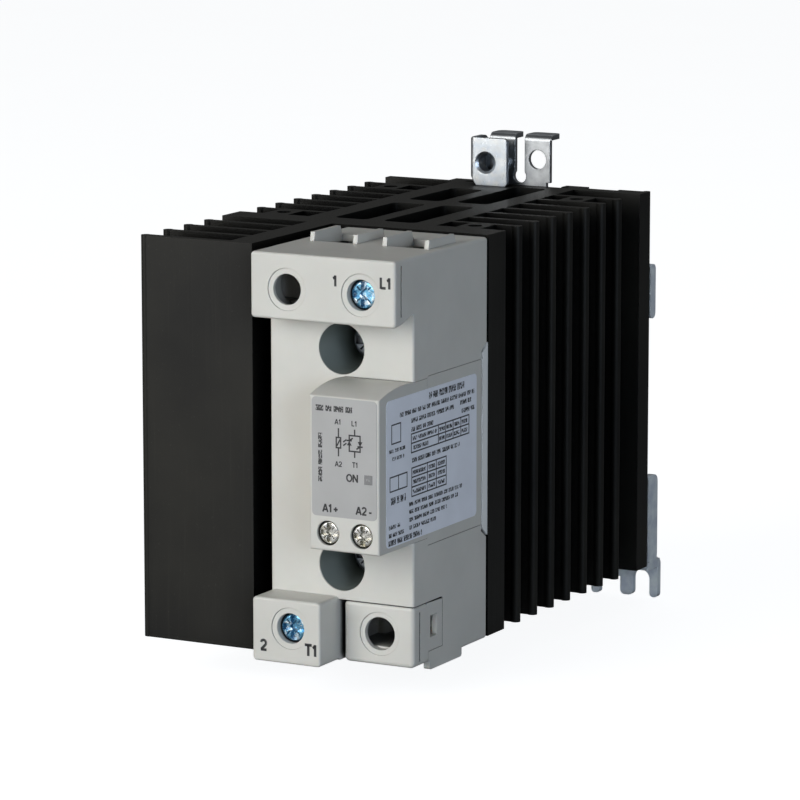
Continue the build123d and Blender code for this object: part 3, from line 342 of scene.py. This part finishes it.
def dress_nodes():
    """Give every CAD node its material."""
    zinc_sheet = sheet_metal("zinc_sheet", (0.80, 0.86, 0.95), rough=0.45, streak=(14, 1, 1),
                             metallic=0.2)
    zinc_strip = sheet_metal("zinc_strip", (0.38, 0.395, 0.41), rough=0.36, streak=(1, 1, 3),
                             cloud=0.22, soft=0.3 * MM, depth=0.003 * MM)
    zinc_bright = sheet_metal("zinc_bright", (0.49, 0.50, 0.50), rough=0.34, streak=(1, 1, 3),
                              cloud=0.16, soft=0.3 * MM, depth=0.003 * MM, stain_glint_colour=(0.36, 0.43, 0.52),
                              stain_glint_edge=0.25)
    fastener = sheet_metal("zinc_fastener", (0.50, 0.52, 0.56), rough=0.35, streak=(1, 1, 1))
    # The housing plastic gets painted shade in its holes and seams.
    housing = moulded("housing_plastic", PLASTIC, rough=0.46, glow=0.04, shade_reach=18 * MM)
    clamp = sheet_metal("clamp_steel", (0.46, 0.47, 0.48), rough=0.38, streak=(1, 14, 1))
    # Blue zinc screws: the near-white patches are painted glints and the dark blue in the recesses
    # is painted shade.
    blue_zinc = sheet_metal("blue_zinc", (0.16, 0.40, 0.60), rough=0.25, streak=(1, 1, 1),
                            cloud=0.4, stain_glint_colour=(0.86, 0.93, 0.96), hole_shade=(0.02, 0.14, 0.28),
                            metallic=0.85, hole_shade_reach=1.6 * MM)
    # Silver screws: the dark yellowish colour in the recesses is painted shade.
    silver = sheet_metal("silver_zinc", (0.84, 0.85, 0.82), rough=0.24, streak=(1, 1, 1),
                         cloud=0.3, stain_glint_colour=(0.52, 0.50, 0.42), hole_shade=(0.26, 0.22, 0.12),
                         metallic=0.9, hole_shade_reach=1.6 * MM)
    copper = sheet_metal("rolled_copper", (0.72, 0.36, 0.22), rough=0.35, streak=(1, 1, 14))
    tinned = sheet_metal("tinned", (0.62, 0.61, 0.58), rough=0.4)
    package = moulded("package_black", (0.025, 0.025, 0.027), rough=0.55, grain=0.08 * MM)
    looks = {
        "heatsink": anodised(),
        "centre_strip": zinc_strip, "earth_terminal": zinc_bright, "earth_rivet": zinc_bright,
        "rail_hook": zinc_sheet, "lower_bracket": zinc_sheet, "rail_slider": zinc_sheet,
        "strip_screws": fastener, "guide_rivets": fastener, "bracket_screws": fastener,
        "module_screws": fastener, "module_washers": fastener,
        "slider_springs": sheet_metal("spring_wire", (0.36, 0.36, 0.37), rough=0.3,
                                      streak=(1, 1, 1)),
        "housing_cover": housing, "terminal_cap": housing, "control_cover": housing,
        "front_label": film("label_front", FRONT_FILM),
        "side_label": film("label_side", SIDE_FILM),
        "light_pipe": clear_bar(),
        # The frame plastic gets painted shade in its gaps.
        "base_frame": moulded("frame_plastic", (0.86, 0.87, 0.85), rough=0.35, shade_reach=2 * MM),
        "power_module": moulded("module_plastic", (0.25, 0.285, 0.27), rough=0.2, grain=0.6 * MM,
                                depth=0.002 * MM),
        "thermal_pad": moulded("pad_foil", (0.42, 0.46, 0.50), rough=0.6, grain=0.5 * MM,
                               soft=0.05 * MM),
        "ceramic_substrate": moulded("alumina", (0.80, 0.80, 0.77), rough=0.35, grain=0.06 * MM),
        "thyristor_chips": sheet_metal("silicon", (0.18, 0.19, 0.23), rough=0.15, streak=(1, 1, 1)),
        "line_busbar": copper, "load_busbar": copper,
        "circuit_board": moulded("solder_mask", (0.02, 0.16, 0.07), rough=0.3, grain=0.4 * MM),
        "optocoupler": package, "driver_components": package,
        "varistor": moulded("varistor_lacquer", (0.03, 0.08, 0.34), rough=0.25, grain=0.8 * MM),
        "status_led": moulded("indicator_lens", (0.70, 0.66, 0.45), rough=0.15, grain=0.5 * MM,
                              glow=0.2),
        "gate_pins": tinned, "control_contacts": tinned,
        "line_cage": clamp, "load_cage": clamp,
        "control_cage_positive": clamp, "control_cage_negative": clamp,
        "line_screw": blue_zinc, "load_screw": blue_zinc,
        "control_screw_positive": silver, "control_screw_negative": silver,
    }
    for name, node in nodes.items():
        node.data.materials.clear()
        node.data.materials.append(looks[name])


# ---- printing -------------------------------------------------------------------------------
class Sheet:
    """A flat place to print on: u runs to the right and v downwards from its top left corner."""

    def __init__(self, corner, along, outward):
        self.corner = Vector(corner)
        self.along = Vector(along)
        self.outward = Vector(outward)

    def point(self, u, v, lift):
        down = Vector((0, 0, -1))
        return self.corner + self.along * u * MM + down * v * MM + self.outward * lift


def piece(name, mesh, material):
    """Wrap a mesh as a piece that rides with the fixed body."""
    mesh.materials.clear()
    mesh.materials.append(material)
    made = bpy.data.objects.new(name, mesh)
    bpy.context.scene.collection.objects.link(made)
    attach(made, BODY)
    return made


def strokes(name, sheet, shapes, material, lift=PRINT):
    """Thin closed prisms over a list of outlines given in u and v millimetres."""
    mesh = bpy.data.meshes.new(name)
    bm = bmesh.new()
    for outline in shapes:
        low = [bm.verts.new(sheet.point(u, v, -lift)) for u, v in outline]
        high = [bm.verts.new(sheet.point(u, v, lift)) for u, v in outline]
        bm.faces.new(high)
        bm.faces.new(low[::-1])
        for index in range(len(outline)):
            after = (index + 1) % len(outline)
            bm.faces.new((low[index], low[after], high[after], high[index]))
    bmesh.ops.recalc_face_normals(bm, faces=bm.faces)
    bm.to_mesh(mesh)
    bm.free()
    return piece(name, mesh, material)


def bar(u0, u1, v, height):
    """Horizontal bar centred on v."""
    return [(u0, v - height / 2), (u1, v - height / 2), (u1, v + height / 2), (u0, v + height / 2)]


def line(start, end, width):
    """Straight stroke between two points."""
    run = Vector((end[0] - start[0], end[1] - start[1]))
    side = Vector((-run.y, run.x)).normalized() * width / 2
    return [(start[0] + side.x, start[1] + side.y), (end[0] + side.x, end[1] + side.y),
            (end[0] - side.x, end[1] - side.y), (start[0] - side.x, start[1] - side.y)]


def grid(u0, u1, v0, v1, columns, rows, width):
    """Ruled table: its frame, the columns' lines and the rows' lines."""
    shapes = [bar(u0 - width / 2, u1 + width / 2, v, width) for v in (v0, *rows, v1)]
    return shapes + [line((u, v0), (u, v1), width) for u in (u0, *columns, u1)]


def words(u0, u1, v, height, longest=4.2, gap=0.55):
    """A row of word-length bars."""
    shapes = []
    start = u0
    while start < u1 - 0.4:
        end = min(u1, start + random.uniform(1.2, longest))
        shapes.append(bar(start, end, v, height))
        start = end + gap
    return shapes


def arc(centre_x, centre_y, radius_x, radius_y, start, end, steps=12):
    """Points along an elliptical arc, angles in degrees."""
    angles = [math.radians(start + (end - start) * step / steps) for step in range(steps + 1)]
    return [(centre_x + radius_x * math.cos(a), centre_y + radius_y * math.sin(a)) for a in angles]


# Plain stroke characters one unit tall: advance width, then the paths of the pen.
GLYPHS = {
    " ": (0.22, []),
    "1": (0.44, [[(0.06, 0.72), (0.20, 0.78), (0.28, 0.92)], [(0.30, 0.0), (0.30, 1.0)]]),
    "2": (0.70, [arc(0.32, 0.68, 0.25, 0.25, 170, -40) + [(0.09, 0.09)],
                 [(0.04, 0.07), (0.62, 0.07)]]),
    "A": (0.82, [[(0.07, 0.0), (0.40, 0.97), (0.73, 0.0)], [(0.19, 0.30), (0.61, 0.30)]]),
    "L": (0.66, [[(0.12, 1.0), (0.12, 0.0)], [(0.12, 0.07), (0.60, 0.07)]]),
    "N": (0.82, [[(0.12, 0.0), (0.12, 1.0)], [(0.12, 0.95), (0.70, 0.05)],
                 [(0.70, 0.0), (0.70, 1.0)]]),
    "O": (0.90, [arc(0.45, 0.5, 0.35, 0.43, 0, 360, 20)]),
    "T": (0.70, [[(0.02, 0.93), (0.68, 0.93)], [(0.35, 0.0), (0.35, 0.93)]]),
    "+": (0.66, [[(0.06, 0.40), (0.60, 0.40)], [(0.33, 0.13), (0.33, 0.67)]]),
    "-": (0.44, [[(0.05, 0.36), (0.39, 0.36)]]),
}


def lettering(text, u, v, height, weight=MARK_WEIGHT):
    """Outlines of a terminal mark centred on (u, v), its characters height millimetres tall."""
    start = u - sum(GLYPHS[mark][0] for mark in text) * height / 2
    shapes = []
    for mark in text:
        width, paths = GLYPHS[mark]
        for path in paths:
            points = [(start + x * height, v + (0.5 - y) * height) for x, y in path]
            shapes += [line(a, b, weight * height) for a, b in zip(points, points[1:])]
        start += width * height
    return shapes


def label_sheets():
    """Printing surfaces of the two labels, from their boxes."""
    low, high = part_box("front_label")
    front = Sheet((low.x, low.y, high.z), (1, 0, 0), (0, -1, 0))
    low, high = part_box("side_label")
    side = Sheet((high.x, low.y, high.z), (0, 1, 0), (1, 0, 0))
    return front, side


def front_printing(sheet, black, fine):
    """Wiring symbol, indicator mark, control terminal marks and two lines of unreadable print."""
    pen = 0.33
    box_u, box_v, stem = (9.4, 12.1), (8.0, 11.5), 10.75
    shapes = [line((6.7, 6.6), (6.7, 8.7), pen), line((6.7, 11.0), (6.7, 12.9), pen)]
    shapes += grid(6.15, 7.25, 8.7, 11.0, (), (), pen)
    shapes.append(line((6.3, 10.6), (7.1, 9.1), pen))
    shapes += grid(*box_u, *box_v, (), (), pen)
    shapes += [line((stem, 6.6), (stem, box_v[0]), pen), line((stem, box_v[1]), (stem, 12.9), pen)]
    middle = sum(box_v) / 2
    for u, way in ((box_u[0], 1), (box_u[1], -1)):
        base_v = middle + 0.5 * way
        shapes.append([(u - 0.6, base_v), (u + 0.6, base_v), (u, middle - 0.55 * way)])
        shapes.append(bar(u - 0.65, u + 0.65, middle - 0.6 * way, pen))
        shapes.append(line((u, middle - 0.6 * way), (u + 0.9 * way, middle - 1.2 * way), pen))
    shapes += [line((7.9, v), (8.7, v - 0.6), pen) for v in (9.6, 10.4)]
    strokes("wiring_symbol", sheet, shapes, black)
    marks = []
    for text, u, v, height in (("A1", 6.5, 5.2, 1.2), ("L1", 10.6, 5.3, 1.2),
                               ("A2", 6.7, 14.6, 1.2), ("T1", 10.8, 14.5, 1.2)):
        marks += lettering(text, u, v, height, SMALL_MARK_WEIGHT)
    for text, u, v, height in (("ON", 10.1, 17.5, 1.75),
                               ("A1 +", 4.6, 24.7, 1.85),
                               ("A2 -", 13.0, 24.6, 1.85)):
        marks += lettering(text, u, v, height)
    strokes("label_marks", sheet, marks, black)
    rows = words(1.0, 10.2, 2.4, 1.3)
    rows += [line((2.1, v), (2.1, v + 3.3), 1.0) for v in (8.0, 11.8, 15.6)]
    strokes("front_fine_print", sheet, rows, fine)


def side_printing(sheet, black, fine):
    """Ruled tables and rows of unreadable fine print."""
    pen = 0.30      # everything here is in millimetres on the label
    tables = grid(11.6, 39.4, 9.0, 13.2, (24.5, 28.0, 31.6, 35.4), (11.1,), pen)
    tables += grid(11.8, 28.3, 16.7, 23.1, (19.2, 23.5), (18.8, 21.0), pen)
    tables += grid(2.4, 6.6, 5.6, 9.8, (), (), pen) + grid(1.6, 9.6, 17.2, 20.4, (5.6,), (), pen)
    strokes("label_tables", sheet, tables, black)
    rows = ((20, 37, 1.7, 1.5), (6.2, 42, 3.9, 1.0), (11.6, 32, 6.0, 1.0), (35, 40.5, 5.6, 1.0),
            (11.6, 22, 8.0, 1.0), (35.8, 42, 7.6, 1.0), (12.1, 23.8, 10.1, 0.9),
            (12.6, 20, 12.2, 0.9), (11.8, 34.8, 15.0, 1.0), (10.5, 36, 24.7, 0.9),
            (10.6, 34, 26.4, 0.9), (10.6, 28.6, 28.2, 0.9), (10.6, 23.4, 30.0, 0.9),
            (1.1, 6.3, 28.4, 0.9), (1.1, 8.1, 30.2, 0.9), (0.9, 16.6, 31.9, 1.2),
            (1.2, 9.6, 11.4, 0.8), (2.6, 8.2, 13.2, 0.8), (2.0, 9.0, 22.6, 1.6))
    shapes = []
    for u0, u1, v, height in rows:
        shapes += words(u0, u1, v, height)
    for u in (24.9, 28.4, 32.0, 35.8):
        shapes += [bar(u, u + 2.7, v, 0.9) for v in (10.1, 12.2)]
    for u0, u1 in ((12.3, 18.4), (19.8, 22.8), (24.2, 27.6)):
        shapes += [bar(u0, u1, v, 0.9) for v in (17.8, 19.9, 22.1)]
    strokes("label_fine_print", sheet, shapes, fine)


def block_marks(black):
    """Power terminal marks beside their screws, on the fronts of the terminal blocks."""
    face_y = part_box("housing_cover")[0].y
    for name, text, screw, across, up, height in (("mark_1", "1", "line_screw", -6.45, 2.8, 2.45),
                                                  ("mark_l1", "L1", "line_screw", 6.2, 3.1, 2.5),
                                                  ("mark_2", "2", "load_screw", -6.8, -4.4, 2.6),
                                                  ("mark_t1", "T1", "load_screw", 5.25, -4.4, 2.7)):
        low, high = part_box(screw)
        sheet = Sheet(((low.x + high.x) / 2, face_y, (low.z + high.z) / 2), (1, 0, 0), (0, -1, 0))
        shapes = lettering(text, across, -up, height, BLOCK_MARK_WEIGHT)
        strokes(name, sheet, shapes, black)


# ---- floor, lights and camera ---------------------------------------------------------------
def area_light(name, place, target, size, power, colour=(1, 1, 1)):
    data = bpy.data.lights.new(name, "AREA")
    data.shape = "RECTANGLE"
    data.size, data.size_y = size
    data.energy = power
    data.color = colour
    light = bpy.data.objects.new(name, data)
    light.location = place
    light.rotation_euler = (Vector(target) - Vector(place)).to_track_quat("-Z", "Y").to_euler()
    bpy.context.scene.collection.objects.link(light)
    return light


def seen_directly(tree):
    return tree.nodes.new("ShaderNodeLightPath").outputs["Is Camera Ray"]


def pale_floor(floor_z):
    """Large pale floor that looks bright to the camera but throws little light back."""
    look = Look("studio_floor")
    look.plug(look.mix(look.noise(60 * MM), (0.32, 0.32, 0.32), (0.36, 0.36, 0.36)), "Base Color")
    look.plug(look.spread(look.noise(90 * MM), 0.3, 0.7, 0.65, 0.8), "Roughness")
    look.plug((0.98, 0.99, 1.0, 1.0), "Emission Color")
    look.plug(look.math("MULTIPLY", seen_directly(look.tree), FLOOR_GLOW), "Emission Strength")
    mesh = bpy.data.meshes.new("studio_floor")
    half = 4.0
    corners = [(-half, -half), (half, -half), (half, half), (-half, half)]
    mesh.from_pydata([(x, y, floor_z) for x, y in corners], [], [(0, 1, 2, 3)])
    mesh.materials.append(look.material)
    floor = bpy.data.objects.new("studio_floor", mesh)
    bpy.context.scene.collection.objects.link(floor)


def surround():
    """Dim cool surround for the object, white behind it for the camera."""
    world = bpy.data.worlds.new("studio_world")
    world.use_nodes = True
    tree = world.node_tree
    background = tree.nodes["Background"]
    background.inputs["Color"].default_value = (0.94, 0.97, 1.0, 1.0)
    strength = tree.nodes.new("ShaderNodeMapRange")
    strength.inputs["To Min"].default_value = AMBIENT
    strength.inputs["To Max"].default_value = BACKDROP
    tree.links.new(seen_directly(tree), strength.inputs["Value"])
    tree.links.new(strength.outputs["Result"], background.inputs["Strength"])
    bpy.context.scene.world = world


def studio(centre, floor_z):
    """Pale floor, surround, a soft key from the front left and a weak cool fill from the right."""
    pale_floor(floor_z)
    surround()
    area_light("key", centre + Vector((-0.45, -1.10, 0.34)), centre, (0.8, 0.8), KEY_POWER,
               (1.0, 0.99, 0.965))
    housing_side = centre + Vector((0.035, -0.05, 0.01))
    fill = area_light("fill", centre + Vector((0.62, -0.62, 0.16)), housing_side, (0.35, 0.35),
                      FILL_POWER, (0.74, 0.85, 1.0))
    fill.data.spread = math.radians(50)
    area_light("back", centre + Vector((-0.1, 0.75, 0.9)), centre, (0.9, 0.4), BACK_POWER)


def camera(centre):
    """Camera at the matched direction and distance."""
    data = bpy.data.cameras.new("camera")
    data.lens = LENS
    data.clip_start = 0.05
    back = Vector((math.sin(AZIMUTH) * math.cos(ELEVATION),
                   -math.cos(AZIMUTH) * math.cos(ELEVATION),
                   math.sin(ELEVATION)))
    made = bpy.data.objects.new("camera", data)
    made.location = centre + AIM + back * DISTANCE
    made.rotation_euler = (-back).to_track_quat("-Z", "Y").to_euler()
    bpy.context.scene.collection.objects.link(made)
    bpy.context.scene.camera = made


# ---- springs --------------------------------------------------------------------------------
def shortening_springs():
    """A copy of the slider's springs with a mesh of its own, riding with the fixed body; the CAD
    node is hidden.
    """
    springs = nodes["slider_springs"].copy()
    springs.data = nodes["slider_springs"].data.copy()
    springs.name = "release_springs"
    bpy.context.scene.collection.objects.link(springs)
    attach(springs, BODY)
    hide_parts("slider_springs")
    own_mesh(springs)


def main():
    random.seed(4)
    dress_nodes()
    shortening_springs()
    black = ink("ink_black", INK)
    fine = ink("ink_fine_print", INK, paper=SIDE_FILM)
    front, side = label_sheets()
    front_printing(front, black, ink("ink_front_print", INK, paper=FRONT_FILM))
    side_printing(side, black, fine)
    block_marks(black)
    low, high = cad_box
    centre = (low + high) / 2
    studio(centre, low.z)
    camera(centre)
    bpy.context.scene.view_settings.view_transform = "Standard"


main()
